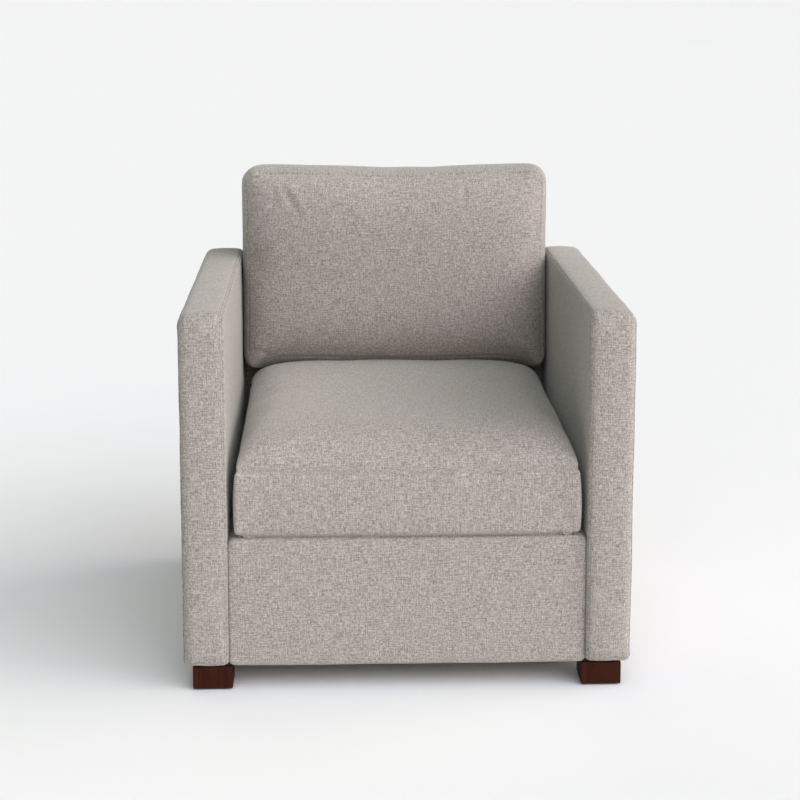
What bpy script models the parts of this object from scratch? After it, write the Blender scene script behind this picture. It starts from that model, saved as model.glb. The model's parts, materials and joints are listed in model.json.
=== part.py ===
"""Upholstered track-arm armchair, as separate parts. Metres, +Z up, front towards -Y.

The origin is on the floor under the middle of the chair. Left is -X and right is +X, as seen
from in front. The wood frame carries the covers; the two cushions lie loose on it.
"""

import math

import bmesh
import bpy
from mathutils import Vector

# Driving sizes of the whole chair.
WIDTH = 0.762
DEPTH = 0.786
ARM_HEIGHT = 0.654
BACK_HEIGHT = 0.770
ARM_THICK = 0.076
UNDERSIDE = 0.042
DECK_TOP = 0.268
RAKE = math.radians(2.4)

# Stock and fits.
GAP = 0.0004
BAND_THICK = 0.018
PANEL_THICK = 0.006
CLOTH_THICK = 0.0015
ARM_EASE = 0.005
POST_DEPTH = 0.045
RAIL_THICK = 0.024
RAIL_TOP = 0.248
RAIL_RECESS = 0.012
BACK_BAND_THICK = 0.006

# Legs and their fixings.
LEG_SIZE = 0.068
LEG_INSET = 0.014
GLIDE_RADIUS = 0.012
GLIDE_THICK = 0.002
BOLT_RADIUS = 0.004
BOLT_HOLE_RADIUS = 0.0046
BOLT_REACH = 0.028

# Seat suspension.
SPRING_COUNT = 5
SPRING_PITCH = 0.11
SPRING_WAVES = 15
SPRING_SWING = 0.020
SPRING_WIRE_RADIUS = 0.0019
WEB_COUNT = 2
WEB_WIDTH = 0.050

# Loose cushions.
SEAT_WIDTH = 0.596
SEAT_DEPTH = 0.700
SEAT_BOXING = 0.106
SEAT_CROWN = 0.065
SEAT_SETBACK = 0.004
BACK_CUSHION_WIDTH = 0.592
BACK_CUSHION_HEIGHT = 0.380
BACK_CUSHION_THICK = 0.100
BACK_CUSHION_CROWN = 0.020
FILL_SLACK = 0.004
CELLS = 8

# Planes and edges that several parts share.
HALF_W = WIDTH / 2
HALF_D = DEPTH / 2
ARM_IN = HALF_W - ARM_THICK
BAY = ARM_IN - 0.0005
CORE_X0 = ARM_IN + PANEL_THICK + GAP
CORE_X1 = HALF_W - PANEL_THICK - GAP
CORE_Y = HALF_D - BAND_THICK - GAP
CORE_TOP = ARM_HEIGHT - BAND_THICK - GAP
CORE_BOTTOM = UNDERSIDE + 0.002
LEG_X = HALF_W - LEG_INSET - LEG_SIZE / 2
LEG_Y = HALF_D - LEG_INSET - LEG_SIZE / 2
LEG_BOTTOM = GLIDE_THICK + GAP
BACK_FACE_Y = HALF_D - 0.071
BACK_REAR_Y = HALF_D - 0.004
CUSHION_BASE = DECK_TOP + 0.001
SEAT_TOP = CUSHION_BASE + SEAT_BOXING + SEAT_CROWN
SIDES = (("left", -1), ("right", 1))
ENDS = (("front", -1), ("rear", 1))

# Colour, roughness and metallic value of each material.
FINISHES = {
    "upholstery": ((0.38, 0.35, 0.31, 1.0), 0.95, 0.0),
    "leg_wood": ((0.030, 0.012, 0.007, 1.0), 0.45, 0.0),
    "frame_wood": ((0.52, 0.36, 0.20, 1.0), 0.75, 0.0),
    "steel": ((0.45, 0.45, 0.46, 1.0), 0.40, 1.0),
    "glide": ((0.05, 0.05, 0.05, 1.0), 0.50, 0.0),
    "deck_cloth": ((0.30, 0.27, 0.23, 1.0), 0.95, 0.0),
    "dust_cloth": ((0.02, 0.02, 0.02, 1.0), 0.95, 0.0),
    "felt": ((0.35, 0.33, 0.30, 1.0), 1.0, 0.0),
    "webbing": ((0.20, 0.15, 0.10, 1.0), 0.90, 0.0),
    "foam": ((0.80, 0.76, 0.62, 1.0), 0.95, 0.0),
    "fibre": ((0.85, 0.85, 0.83, 1.0), 1.0, 0.0),
}


def start_scene():
    """Empty the scene and make one collection for the parts and one for the cutters."""
    for obj in list(bpy.data.objects):
        bpy.data.objects.remove(obj, do_unlink=True)
    parts = bpy.data.collections.new("armchair")
    cutters = bpy.data.collections.new("cutters")
    bpy.context.scene.collection.children.link(parts)
    bpy.context.scene.collection.children.link(cutters)
    return parts, cutters


PARTS, CUTTERS = start_scene()


def make_finish(name):
    """Make the Principled material of one finish."""
    colour, roughness, metallic = FINISHES[name]
    material = bpy.data.materials.new(name)
    material.use_nodes = True
    shader = material.node_tree.nodes["Principled BSDF"]
    shader.inputs["Base Color"].default_value = colour
    shader.inputs["Roughness"].default_value = roughness
    shader.inputs["Metallic"].default_value = metallic
    material.diffuse_color = colour
    return material


MATERIALS = {name: make_finish(name) for name in FINISHES}


def add_part(name, data, finish, location=(0, 0, 0), rotation=(0, 0, 0), parent=None):
    """Put mesh or curve data in the scene as one named part."""
    obj = bpy.data.objects.new(name, data)
    data.materials.append(MATERIALS[finish])
    PARTS.objects.link(obj)
    obj.location = location
    obj.rotation_euler = rotation
    obj.parent = parent
    return obj


def add_bevel(obj, width, segments=2):
    """Round the sharp edges."""
    bevel = obj.modifiers.new("Rounded edges", "BEVEL")
    bevel.width = width
    bevel.segments = segments
    bevel.limit_method = "ANGLE"
    bevel.angle_limit = math.radians(50)
    return bevel


def box_mesh(name, size):
    """Make a box mesh centred on its own origin."""
    bm = bmesh.new()
    bmesh.ops.create_cube(bm, size=1.0)
    bmesh.ops.scale(bm, vec=size, verts=bm.verts)
    mesh = bpy.data.meshes.new(name)
    bm.to_mesh(mesh)
    bm.free()
    return mesh


def add_box(name, low, high, finish, bevel=0.0, parent=None):
    """Add a box between two corners, given in the parent's frame."""
    low, high = Vector(low), Vector(high)
    obj = add_part(name, box_mesh(name, high - low), finish, (low + high) / 2, parent=parent)
    if bevel:
        add_bevel(obj, bevel)
    return obj


def add_sheet(name, outline, thickness, finish, location, rotation, bevel=0.0):
    """Add a flat outline, given in the object's own XY plane, as a plate of some thickness."""
    curve = bpy.data.curves.new(name, "CURVE")
    curve.dimensions = "2D"
    curve.fill_mode = "BOTH"
    curve.extrude = thickness / 2
    spline = curve.splines.new("POLY")
    spline.points.add(len(outline) - 1)
    for point, (x, y) in zip(spline.points, outline):
        point.co = (x, y, 0, 1)
    spline.use_cyclic_u = True
    obj = add_part(name, curve, finish, location, rotation)
    weld = obj.modifiers.new("Joined caps", "WELD")
    weld.merge_threshold = 0.0001
    if bevel:
        add_bevel(obj, bevel)
    return obj


ACROSS = (math.pi / 2, 0, math.pi / 2)
ALONG = (math.pi / 2, 0, 0)
FLAT = (0, 0, 0)


def cylinder_mesh(name, radius, length, sides):
    """Make a cylinder mesh along Z, standing on its own origin."""
    bm = bmesh.new()
    bmesh.ops.create_cone(
        bm, cap_ends=True, segments=sides, radius1=radius, radius2=radius, depth=length
    )
    bmesh.ops.translate(bm, vec=(0, 0, length / 2), verts=bm.verts)
    for face in bm.faces:
        face.smooth = len(face.verts) == 4
    mesh = bpy.data.meshes.new(name)
    bm.to_mesh(mesh)
    bm.free()
    return mesh


def drill(obj, name, centre, bottom, top):
    """Cut the hole of a leg bolt out of a part."""
    mesh = cylinder_mesh(name, BOLT_HOLE_RADIUS, top - bottom, 12)
    cutter = bpy.data.objects.new(name, mesh)
    CUTTERS.objects.link(cutter)
    cutter.location = (centre[0], centre[1], bottom)
    cutter.hide_render = True
    cutter.display_type = "WIRE"
    cut = obj.modifiers.new("Bolt hole", "BOOLEAN")
    cut.object = cutter
    cut.operation = "DIFFERENCE"
    cut.solver = "EXACT"


def add_leg(tag, x_sign, y_sign):
    """Add one block leg with its floor glide and its hanger bolt."""
    centre = (x_sign * LEG_X, y_sign * LEG_Y)
    top = UNDERSIDE - GAP
    half = LEG_SIZE / 2
    leg = add_box(
        f"{tag}_leg",
        (centre[0] - half, centre[1] - half, LEG_BOTTOM),
        (centre[0] + half, centre[1] + half, top),
        "leg_wood",
    )
    drill(leg, f"{tag}_leg_drill", centre, top - BOLT_REACH - 0.001, top + 0.01)
    add_bevel(leg, 0.0015)
    glide = cylinder_mesh(f"{tag}_glide", GLIDE_RADIUS, GLIDE_THICK, 24)
    add_part(f"{tag}_glide", glide, "glide", (*centre, 0))
    bolt = cylinder_mesh(f"{tag}_leg_bolt", BOLT_RADIUS, 2 * BOLT_REACH, 12)
    add_part(f"{tag}_leg_bolt", bolt, "steel", (*centre, top - BOLT_REACH))


def add_post(tag, x_sign, y_sign):
    """Add one corner post of an arm, drilled from below for the leg's bolt."""
    xs = sorted((x_sign * (CORE_X0 + GAP), x_sign * (CORE_X1 - GAP)))
    ys = sorted((y_sign * (CORE_Y - POST_DEPTH), y_sign * (CORE_Y - GAP)))
    post = add_box(
        f"{tag}_post",
        (xs[0], ys[0], UNDERSIDE + GAP),
        (xs[1], ys[1], CORE_TOP - 0.026),
        "frame_wood",
    )
    centre = (x_sign * LEG_X, y_sign * LEG_Y)
    drill(post, f"{tag}_post_drill", centre, UNDERSIDE - 0.01, UNDERSIDE + BOLT_REACH + 0.001)


def add_arm_frame(side, sign):
    """Add the wood inside one arm, apart from its posts."""
    xs = sorted((sign * (CORE_X0 + GAP), sign * (CORE_X1 - GAP)))
    add_box(
        f"{side}_arm_top_rail",
        (xs[0], -CORE_Y + ARM_EASE, CORE_TOP - 0.0255),
        (xs[1], CORE_Y - ARM_EASE, CORE_TOP - GAP),
        "frame_wood",
    )
    xs = sorted((sign * (CORE_X0 + GAP), sign * (CORE_X0 + 0.022)))
    reach = CORE_Y - POST_DEPTH - GAP
    add_box(
        f"{side}_seat_rail",
        (xs[0], -reach, CORE_BOTTOM),
        (xs[1], reach, RAIL_TOP),
        "frame_wood",
    )


def add_arm_cover(side, sign):
    """Add one arm's wrap-around band and its two side panels."""
    inner = ARM_HEIGHT - BAND_THICK
    outline = [
        (-HALF_D, UNDERSIDE),
        (-HALF_D, ARM_HEIGHT),
        (HALF_D, ARM_HEIGHT),
        (HALF_D, UNDERSIDE),
        (HALF_D - BAND_THICK, UNDERSIDE),
        (HALF_D - BAND_THICK, inner),
        (-HALF_D + BAND_THICK, inner),
        (-HALF_D + BAND_THICK, UNDERSIDE),
    ]
    middle = sign * (ARM_IN + HALF_W) / 2
    add_sheet(
        f"{side}_arm_band", outline, ARM_THICK, "upholstery", (middle, 0, 0), ACROSS, ARM_EASE
    )
    reach = CORE_Y - ARM_EASE
    xs = sorted((sign * ARM_IN, sign * (ARM_IN + PANEL_THICK)))
    add_box(
        f"{side}_arm_inside_panel",
        (xs[0], -reach, DECK_TOP - 0.006),
        (xs[1], reach, CORE_TOP),
        "upholstery",
    )
    xs = sorted((sign * (HALF_W - PANEL_THICK), sign * HALF_W))
    add_box(
        f"{side}_arm_outside_panel",
        (xs[0], -reach, UNDERSIDE),
        (xs[1], reach, CORE_TOP),
        "upholstery",
    )


def add_cross_rails():
    """Add the front and rear seat rails and the blocks that brace their corners."""
    for end, sign in ENDS:
        ys = sorted((sign * (CORE_Y - GAP), sign * (CORE_Y - RAIL_THICK)))
        add_box(
            f"{end}_seat_rail",
            (-CORE_X0, ys[0], CORE_BOTTOM),
            (CORE_X0, ys[1], RAIL_TOP),
            "frame_wood",
        )
    x_edge = CORE_X0 - GAP
    y_edge = CORE_Y - RAIL_THICK - GAP
    leg = 0.060
    for end, y_sign in ENDS:
        for side, x_sign in SIDES:
            outline = [
                (x_sign * x_edge, y_sign * y_edge),
                (x_sign * (x_edge - leg), y_sign * y_edge),
                (x_sign * x_edge, y_sign * (y_edge - leg)),
            ]
            add_sheet(
                f"{end}_{side}_corner_block", outline, 0.060, "frame_wood", (0, 0, 0.200), FLAT
            )


def back_face(z):
    """Give the Y of the inside back's front face at height z."""
    return BACK_FACE_Y + (z - DECK_TOP) * math.tan(RAKE)


def add_back_frame():
    """Add the two uprights, the two cross rails and the webbing of the back."""
    x0, x1 = 0.262, BAY - BACK_BAND_THICK - GAP
    front = 0.0115
    rear = BACK_REAR_Y - PANEL_THICK - 2 * GAP
    foot, head = RAIL_TOP + GAP, BACK_HEIGHT - BACK_BAND_THICK - GAP
    for side, sign in SIDES:
        outline = [
            (back_face(foot) + front, foot),
            (rear, foot),
            (rear, head),
            (back_face(head) + front, head),
        ]
        middle = sign * (x0 + x1) / 2
        add_sheet(f"back_{side}_upright", outline, x1 - x0, "frame_wood", (middle, 0, 0), ACROSS)
    reach = x0 - GAP
    for name, low, high in (("lower", 0.300, 0.350), ("top", head - 0.050, head)):
        y0 = back_face(high) + front
        add_box(
            f"back_{name}_rail", (-reach, y0, low), (reach, y0 + 0.022, high), "frame_wood"
        )
    for index in range(WEB_COUNT):
        z = 0.440 + 0.130 * index
        y = back_face(z) + front - 0.0018
        web = box_mesh(f"back_webbing_{index + 1}", (2 * x1, 0.002, WEB_WIDTH))
        add_part(web.name, web, "webbing", (0, y, z), (-RAKE, 0, 0))


def add_back_cover():
    """Add the inside and outside back panels and the band over the top and sides."""
    band_front = back_face(BACK_HEIGHT) + 0.0085
    low = DECK_TOP + 0.001
    outline = [
        (back_face(low), low),
        (back_face(low) + 0.008, low),
        (back_face(BACK_HEIGHT) + 0.008, BACK_HEIGHT),
        (back_face(BACK_HEIGHT), BACK_HEIGHT),
    ]
    add_sheet("inside_back_panel", outline, 2 * BAY, "upholstery", (0, 0, 0), ACROSS, 0.003)
    add_box(
        "outside_back_panel",
        (-BAY, BACK_REAR_Y - PANEL_THICK, UNDERSIDE),
        (BAY, BACK_REAR_Y, BACK_HEIGHT),
        "upholstery",
        0.002,
    )
    inner = BAY - BACK_BAND_THICK
    arch = [
        (-BAY, low),
        (-inner, low),
        (-inner, BACK_HEIGHT - BACK_BAND_THICK),
        (inner, BACK_HEIGHT - BACK_BAND_THICK),
        (inner, low),
        (BAY, low),
        (BAY, BACK_HEIGHT),
        (-BAY, BACK_HEIGHT),
    ]
    band_rear = BACK_REAR_Y - PANEL_THICK - GAP
    middle = (band_front + band_rear) / 2
    add_sheet(
        "back_band", arch, band_rear - band_front, "upholstery", (0, middle, 0), ALONG
    )


def add_seat_base():
    """Add the front rail's cover, the deck, its felt pad, the springs and the dust cover."""
    face = -HALF_D + RAIL_RECESS
    skin = PANEL_THICK
    lip = -HALF_D + 0.090
    outline = [
        (face, UNDERSIDE),
        (face, DECK_TOP),
        (lip, DECK_TOP),
        (lip, DECK_TOP - skin),
        (face + skin, DECK_TOP - skin),
        (face + skin, UNDERSIDE),
    ]
    add_sheet("front_rail_cover", outline, 2 * BAY, "upholstery", (0, 0, 0), ACROSS, 0.003)
    add_box(
        "seat_deck",
        (-BAY, lip + GAP, DECK_TOP - skin),
        (BAY, BACK_FACE_Y - GAP, DECK_TOP),
        "deck_cloth",
    )
    add_box(
        "spring_pad",
        (-BAY, -CORE_Y + ARM_EASE, RAIL_TOP + 0.0048),
        (BAY, BACK_FACE_Y - GAP, DECK_TOP - skin - GAP),
        "felt",
    )
    outer_x, outer_y = CORE_X1, CORE_Y
    notch_x, notch_y = ARM_IN - 0.010, CORE_Y - POST_DEPTH - 0.024
    outline = [
        (-outer_x, -notch_y),
        (-notch_x, -notch_y),
        (-notch_x, -outer_y),
        (notch_x, -outer_y),
        (notch_x, -notch_y),
        (outer_x, -notch_y),
        (outer_x, notch_y),
        (notch_x, notch_y),
        (notch_x, outer_y),
        (-notch_x, outer_y),
        (-notch_x, notch_y),
        (-outer_x, notch_y),
    ]
    sheet_z = UNDERSIDE + 0.001
    add_sheet("dust_cover", outline, 0.001, "dust_cloth", (0, 0, sheet_z), FLAT)


def add_seat_springs():
    """Add the zigzag seat springs, which lie on the front and rear rails."""
    reach = CORE_Y - 0.008
    steps = SPRING_WAVES * 4
    z = RAIL_TOP + SPRING_WIRE_RADIUS + GAP
    corners = ((-1, 0), (1, 0), (1, 1), (-1, 1))
    for index in range(SPRING_COUNT):
        curve = bpy.data.curves.new(f"seat_spring_{index + 1}", "CURVE")
        curve.dimensions = "3D"
        curve.bevel_depth = SPRING_WIRE_RADIUS
        curve.bevel_resolution = 0
        curve.use_fill_caps = True
        spline = curve.splines.new("POLY")
        spline.points.add(steps - 1)
        for step, point in enumerate(spline.points):
            swing, half = corners[step % 4]
            row = 2 * (step // 4) + half
            y = -reach + 2 * reach * row / (2 * SPRING_WAVES - 1)
            point.co = (swing * SPRING_SWING, y, 0, 1)
        x = (index - (SPRING_COUNT - 1) / 2) * SPRING_PITCH
        spring = add_part(curve.name, curve, "steel", (x, 0, z))
        weld = spring.modifiers.new("Joined caps", "WELD")
        weld.merge_threshold = 0.0001


def crown_at(u, v):
    """Give the share of the crown, 0 to 1, at -1..1 places across a cushion."""
    return (1 - abs(u) ** 4) * (1 - abs(v) ** 8)


def crowned_mesh(name, width, length, thick, crown):
    """Make a closed block on its own XY plane with a crowned top face."""
    bm = bmesh.new()
    bmesh.ops.create_cube(bm, size=1.0)
    level = [edge for edge in bm.edges if abs(edge.verts[0].co.z - edge.verts[1].co.z) < 0.5]
    bmesh.ops.subdivide_edges(bm, edges=level, cuts=CELLS - 1, use_grid_fill=True)
    for vert in bm.verts:
        u, v, top = 2 * vert.co.x, 2 * vert.co.y, vert.co.z > 0
        rise = thick + crown * crown_at(u, v) if top else 0
        vert.co = (vert.co.x * width, vert.co.y * length, rise)
    mesh = bpy.data.meshes.new(name)
    bm.to_mesh(mesh)
    bm.free()
    return mesh


def add_crowned_panel(name, width, length, base, crown, parent, finish="upholstery"):
    """Add one sewn cloth panel that lies on the crowned face of a cushion."""
    bm = bmesh.new()
    bmesh.ops.create_grid(bm, x_segments=CELLS, y_segments=CELLS, size=0.5)
    for vert in bm.verts:
        rise = base + crown * crown_at(2 * vert.co.x, 2 * vert.co.y)
        vert.co = (vert.co.x * width, vert.co.y * length, rise)
    for face in bm.faces:
        face.smooth = True
    mesh = bpy.data.meshes.new(name)
    bm.to_mesh(mesh)
    bm.free()
    obj = add_part(name, mesh, finish, parent=parent)
    shell = obj.modifiers.new("Cloth thickness", "SOLIDIFY")
    shell.thickness = CLOTH_THICK
    shell.offset = 1
    return obj


def add_boxing(name, width, length, low, high, parent):
    """Add the upright band around the front and sides of a cushion."""
    x, y, t = width / 2, length / 2, CLOTH_THICK
    outline = [
        (-x, y),
        (-x, -y),
        (x, -y),
        (x, y),
        (x - t, y),
        (x - t, -y + t),
        (-x + t, -y + t),
        (-x + t, y),
    ]
    middle = (0, 0, (low + high) / 2)
    obj = add_sheet(name, outline, high - low, "upholstery", middle, FLAT)
    obj.parent = parent
    return obj


def add_cushion(name, origin, rotation, width, length, thick, crown, filling, filling_name):
    """Add a boxed cushion: filling, two panels, boxing and zip strip.

    In the cushion's own frame it lies on its plain face with the crowned face up, and its
    zip runs along the +Y edge.
    """
    pivot = bpy.data.objects.new(f"{name}_seating", None)
    PARTS.objects.link(pivot)
    pivot.location = origin
    pivot.rotation_euler = rotation
    t = CLOTH_THICK
    edge = t + GAP
    low, high = t + GAP, thick - t - GAP
    core = crowned_mesh(
        f"{name}_{filling_name}",
        width - 2 * edge,
        length - 2 * edge - t,
        high - low - FILL_SLACK,
        crown,
    )
    body = add_part(core.name, core, filling, (0, -t / 2, low), parent=pivot)
    add_bevel(body, 0.004, 1)
    add_crowned_panel(f"{name}_top_panel", width, length, thick - t, crown, pivot)
    add_box(
        f"{name}_bottom_panel",
        (-width / 2, -length / 2, 0),
        (width / 2, length / 2, t),
        "upholstery",
        parent=pivot,
    )
    band = add_boxing(f"{name}_boxing", width, length - 2 * t, low, high, pivot)
    band.location.y = -t
    add_box(
        f"{name}_zip_strip",
        (-width / 2, length / 2 - 2 * t + GAP, low),
        (width / 2, length / 2 - t, high),
        "upholstery",
        parent=pivot,
    )


def add_cushions():
    """Lay the seat cushion on the deck and stand the back cushion on it, against the back."""
    add_cushion(
        "seat_cushion",
        (0, -HALF_D + SEAT_SETBACK + SEAT_DEPTH / 2, CUSHION_BASE),
        (0, 0, 0),
        SEAT_WIDTH,
        SEAT_DEPTH,
        SEAT_BOXING,
        SEAT_CROWN,
        "foam",
        "foam",
    )
    # The back cushion's own frame is stood up: its crowned face looks at the front and its
    # zip edge is underneath.
    lean = RAKE - math.pi / 2
    up = Vector((0, math.sin(RAKE), math.cos(RAKE)))
    foot = Vector((0, back_face(SEAT_TOP) - 0.001, SEAT_TOP + 0.002))
    add_cushion(
        "back_cushion",
        foot + up * BACK_CUSHION_HEIGHT / 2,
        (lean, 0, math.pi),
        BACK_CUSHION_WIDTH,
        BACK_CUSHION_HEIGHT,
        BACK_CUSHION_THICK,
        BACK_CUSHION_CROWN,
        "fibre",
        "fill",
    )


def build():
    """Add every part of the chair."""
    for end, y_sign in ENDS:
        for side, x_sign in SIDES:
            add_leg(f"{end}_{side}", x_sign, y_sign)
            add_post(f"{end}_{side}", x_sign, y_sign)
    for side, sign in SIDES:
        add_arm_frame(side, sign)
        add_arm_cover(side, sign)
    add_cross_rails()
    add_back_frame()
    add_back_cover()
    add_seat_base()
    add_seat_springs()
    add_cushions()


build()
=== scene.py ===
"""Looks of the upholstered track-arm armchair: covers, cushions, stitching and materials.

Metres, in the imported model's frame: +Z up, front towards -Y, origin on the floor under the
middle of the chair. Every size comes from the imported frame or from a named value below.
"""

import json
import math

import bmesh
import bpy
import numpy as np
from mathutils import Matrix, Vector, noise
from mathutils.bvhtree import BVHTree


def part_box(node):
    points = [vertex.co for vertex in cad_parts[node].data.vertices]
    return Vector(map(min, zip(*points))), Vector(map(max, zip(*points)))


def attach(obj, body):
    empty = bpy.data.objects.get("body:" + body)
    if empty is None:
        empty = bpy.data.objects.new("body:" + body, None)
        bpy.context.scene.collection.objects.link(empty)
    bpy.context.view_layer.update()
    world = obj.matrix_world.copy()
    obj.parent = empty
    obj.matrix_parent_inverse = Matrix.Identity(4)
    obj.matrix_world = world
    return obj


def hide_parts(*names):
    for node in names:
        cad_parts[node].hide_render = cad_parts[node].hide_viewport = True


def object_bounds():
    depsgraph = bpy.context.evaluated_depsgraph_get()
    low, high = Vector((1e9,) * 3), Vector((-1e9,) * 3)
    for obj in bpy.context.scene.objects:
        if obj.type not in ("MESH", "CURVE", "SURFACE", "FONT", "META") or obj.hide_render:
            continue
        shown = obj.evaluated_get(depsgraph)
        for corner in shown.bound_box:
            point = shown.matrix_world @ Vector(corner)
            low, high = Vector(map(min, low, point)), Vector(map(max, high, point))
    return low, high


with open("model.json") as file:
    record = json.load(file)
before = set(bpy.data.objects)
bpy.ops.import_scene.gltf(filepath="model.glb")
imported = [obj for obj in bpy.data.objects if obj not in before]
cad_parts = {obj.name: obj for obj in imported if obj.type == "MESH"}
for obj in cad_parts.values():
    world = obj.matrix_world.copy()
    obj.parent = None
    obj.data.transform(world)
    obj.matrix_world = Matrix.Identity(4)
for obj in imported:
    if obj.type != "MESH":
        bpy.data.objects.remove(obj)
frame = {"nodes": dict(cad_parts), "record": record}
CAD_LOW, CAD_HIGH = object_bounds()

# Rounding and padding of the fixed covers.
ARM_INNER_RADIUS = 0.007
ARM_OUTER_RADIUS = 0.018
ARM_NOSE_RADIUS = 0.028
ARM_FOOT_RADIUS = 0.020
ARM_HEM_RADIUS = 0.006
RAIL_EDGE_RADIUS = 0.007
RAIL_TOP_RADIUS = 0.015
RAIL_FOOT_RADIUS = 0.012
RAIL_SIDE_PRESS = 0.0020
RAIL_PRESS_START = 0.9
RAIL_LIP = 0.004
RAIL_LIP_CLEARANCE = 0.0006
BACK_EDGE_RADIUS = 0.010
BACK_CORNER_RADIUS = 0.015
BACK_FOOT_RADIUS = 0.012
BACK_TAPER = 0.003
# The taper sets in this far below the arms' tops and is whole this far above them.
BACK_TAPER_BELOW, BACK_TAPER_ABOVE = 0.04, 0.03
BACK_DECK_OVERLAP = 0.004
COVER_THICK = 0.0016
BAND_CROWN = 0.0016
PANEL_PUFF = 0.0022
BACK_PUFF = 0.0015
BAND_LINES, BACK_BAND_LINES = 7, 5

# Unevenness of the padding: how many waves in a metre, and their height.
ARM_WAVES = (14.0, 0.0009)
ARM_FINE_WAVES = (45.0, 0.0003)
RAIL_WAVES = (9.0, 0.0010)
RAIL_WAVES_DEPTH = 0.03
BACK_WAVES = (12.0, 0.0009)
SEAT_WAVES = (8.0, 0.0020)

# Grid of a sheet: the plain step, and the closer lines beside each edge.
GRID_STEP = 0.012
EDGE_LINES = (0.0, 0.003, 0.007, 0.013, 0.021)
EDGE_BAND = 0.030
NARROW_SHEET = 0.08
NARROW_LINES = 5

# Seams and topstitching; a seam's angle runs round the edge from the sheet beside it.
ARM_SEAM_ANGLE = 56.0
BACK_SEAM_ANGLE = 50
OUTSIDE_SEAM_ANGLE = 14.0
SEAM_DEPTH = 0.0014
OUTSIDE_SEAM_SHARE = 0.8
SEAM_HALF_WIDTH = 0.0012
SEAM_SWELL = 0.0005
SEAM_SWELL_OFFSET = 0.0085
SEAM_SWELL_HALF_WIDTH = 0.004
GATHERS = (110.0, 0.5)
STITCH_OFFSET = 0.0032
STITCH_DIP = 0.0009
STITCH_DIP_HALF_WIDTH = 0.0011
STITCH_PITCH = 0.0042
STITCH_LENGTH = 0.0030
STITCH_RADIUS = 0.00045
STITCH_LIFT = 0.00015
STITCH_SINK = 0.6
STITCH_SIDES = 6
# Rings of one stitch: place along it, from -0.5 to 0.5, and share of its radius.
STITCH_RINGS = ((-0.5, 0.35), (-0.36, 0.9), (0.0, 1.1), (0.36, 0.9), (0.5, 0.35))
# How far the edge faces down where the tighter hem sets in and is whole; no topstitching there.
UNDERSIDE = (0.3, 0.95)

# Both loose cushions.
CUSHION_SEAM_DEPTH = 0.0034
SEAM_FADE = 0.03
BOXING_LINES = (0.0, 0.0025, 0.007, 0.014)
BOXING_MARGIN = 0.024
BOXING_STEP = 0.012
BOXING_FULLNESS = 0.7
CUSHION_NODES = ("bottom_panel", "top_panel", "boxing", "zip_strip")
CLOTH_SETTINGS = {
    "quality": 6,
    "mass": 0.25,
    "tension_stiffness": 30,
    "compression_stiffness": 12,
    "shear_stiffness": 8,
    "bending_stiffness": 0.6,
    "tension_damping": 8,
    "compression_damping": 8,
    "shear_damping": 8,
}
SIM_FRAMES = 20
SWELL_SMOOTHING = 6

# Loose seat cushion; a dome's two values are its power and its rise.
SEAT_REACH = 0.3046
SEAT_INSET = 0.001
SEAT_BULGE = 0.004
SEAT_SEAM_Z = 0.375
SEAT_CROWN = 0.070
SEAT_TOP_Z = SEAT_SEAM_Z + SEAT_CROWN
SEAT_DOME_ACROSS = (4.5, 0.24)
SEAT_DOME_FRONT = (5, 0.42)
SEAT_DOME_REAR = (8, 0.40)
SEAT_CORNER_RADIUS = 0.009
SEAT_FOOT_RADIUS = 0.009
SEAT_INFLATE = {"pressure": 3.0, "cap": 0.009, "slack": 0.006}

# Loose back cushion.
PILLOW_REACH = 0.3020
PILLOW_BULGE = 0.008
PILLOW_FULLNESS = 0.007
PILLOW_GRID_STEP = 0.016
PILLOW_TOP_Z = 0.819
PILLOW_TOP_DIP = 0.006
PILLOW_DIP_HALF_WIDTH = 0.14
PILLOW_DIP_START = 0.2
PILLOW_LEAN_LEFT = 0.002
PILLOW_LEAN_END = 0.3
PILLOW_TOP_RADII = (0.036, 0.026)
PILLOW_DEPTH = 0.100
PILLOW_CROWN = 0.044
PILLOW_CROWN_FALL = 0.06
PILLOW_REAR_CROWN = 0.10
PILLOW_DOME_ACROSS = (2.6, 0.62)
PILLOW_DOME_UP = (3.4, 0.50)
PILLOW_INFLATE = {"pressure": 3.0, "cap": 0.009, "slack": 0.008}
# Its foot, which stands on the seat.
FOOT_RISE = 0.043
FOOT_RADIUS = 0.024
FOOT_CLEARANCE = 0.001
FOOT_BLEND = 0.16
FOOT_REST_HALF = 0.25
FOOT_COLUMNS = 21
FOOT_SMOOTHING = 5
FOOT_DEPTH = 0.03
FOOT_PRESS = 0.0030
PROBE_Z = 1.0
# Creases of its front: start and end (across, height), width and depth.
CREASES = (
    ((-0.222, 0.797), (-0.184, 0.735), 0.0060, 0.0034),
    ((-0.206, 0.797), (-0.170, 0.742), 0.0065, -0.0022),
    ((-0.243, 0.798), (-0.232, 0.755), 0.0070, 0.0018),
    ((-0.160, 0.798), (-0.146, 0.765), 0.0065, 0.0018),
    ((0.133, 0.802), (0.133, 0.752), 0.0065, 0.0024),
    ((-0.285, 0.474), (-0.240, 0.464), 0.0065, 0.0016),
)
# Shares of a crease's length over which it sets in and dies away.
CREASE_START = (-0.3, 0.3)
CREASE_END = (0.6, 1.15)
CREASE_GROOVE = 1.25
CREASE_SWELL = 0.55
CREASE_SWELL_WIDTH = 2.4
CREASE_FACING = (0.5, 0.85)
RAKE = math.radians(2.4)

# Weave of the cloth.
THREAD_PITCH = 0.0016
THREAD_DRIFT = 0.0022
DRIFT_SCALE = 28.0
CLOTH_CONTRAST = 0.56
CLOTH_COLOUR = (0.385, 0.345, 0.315)
CLOTH_DARK = (0.58, 0.58, 0.58)
CLOTH_LIGHT = (1.42, 1.42, 1.42)
CLOTH_SHEEN = 0.35
SHEEN_TINT = (0.94, 1.0, 0.93, 1.0)
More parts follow.
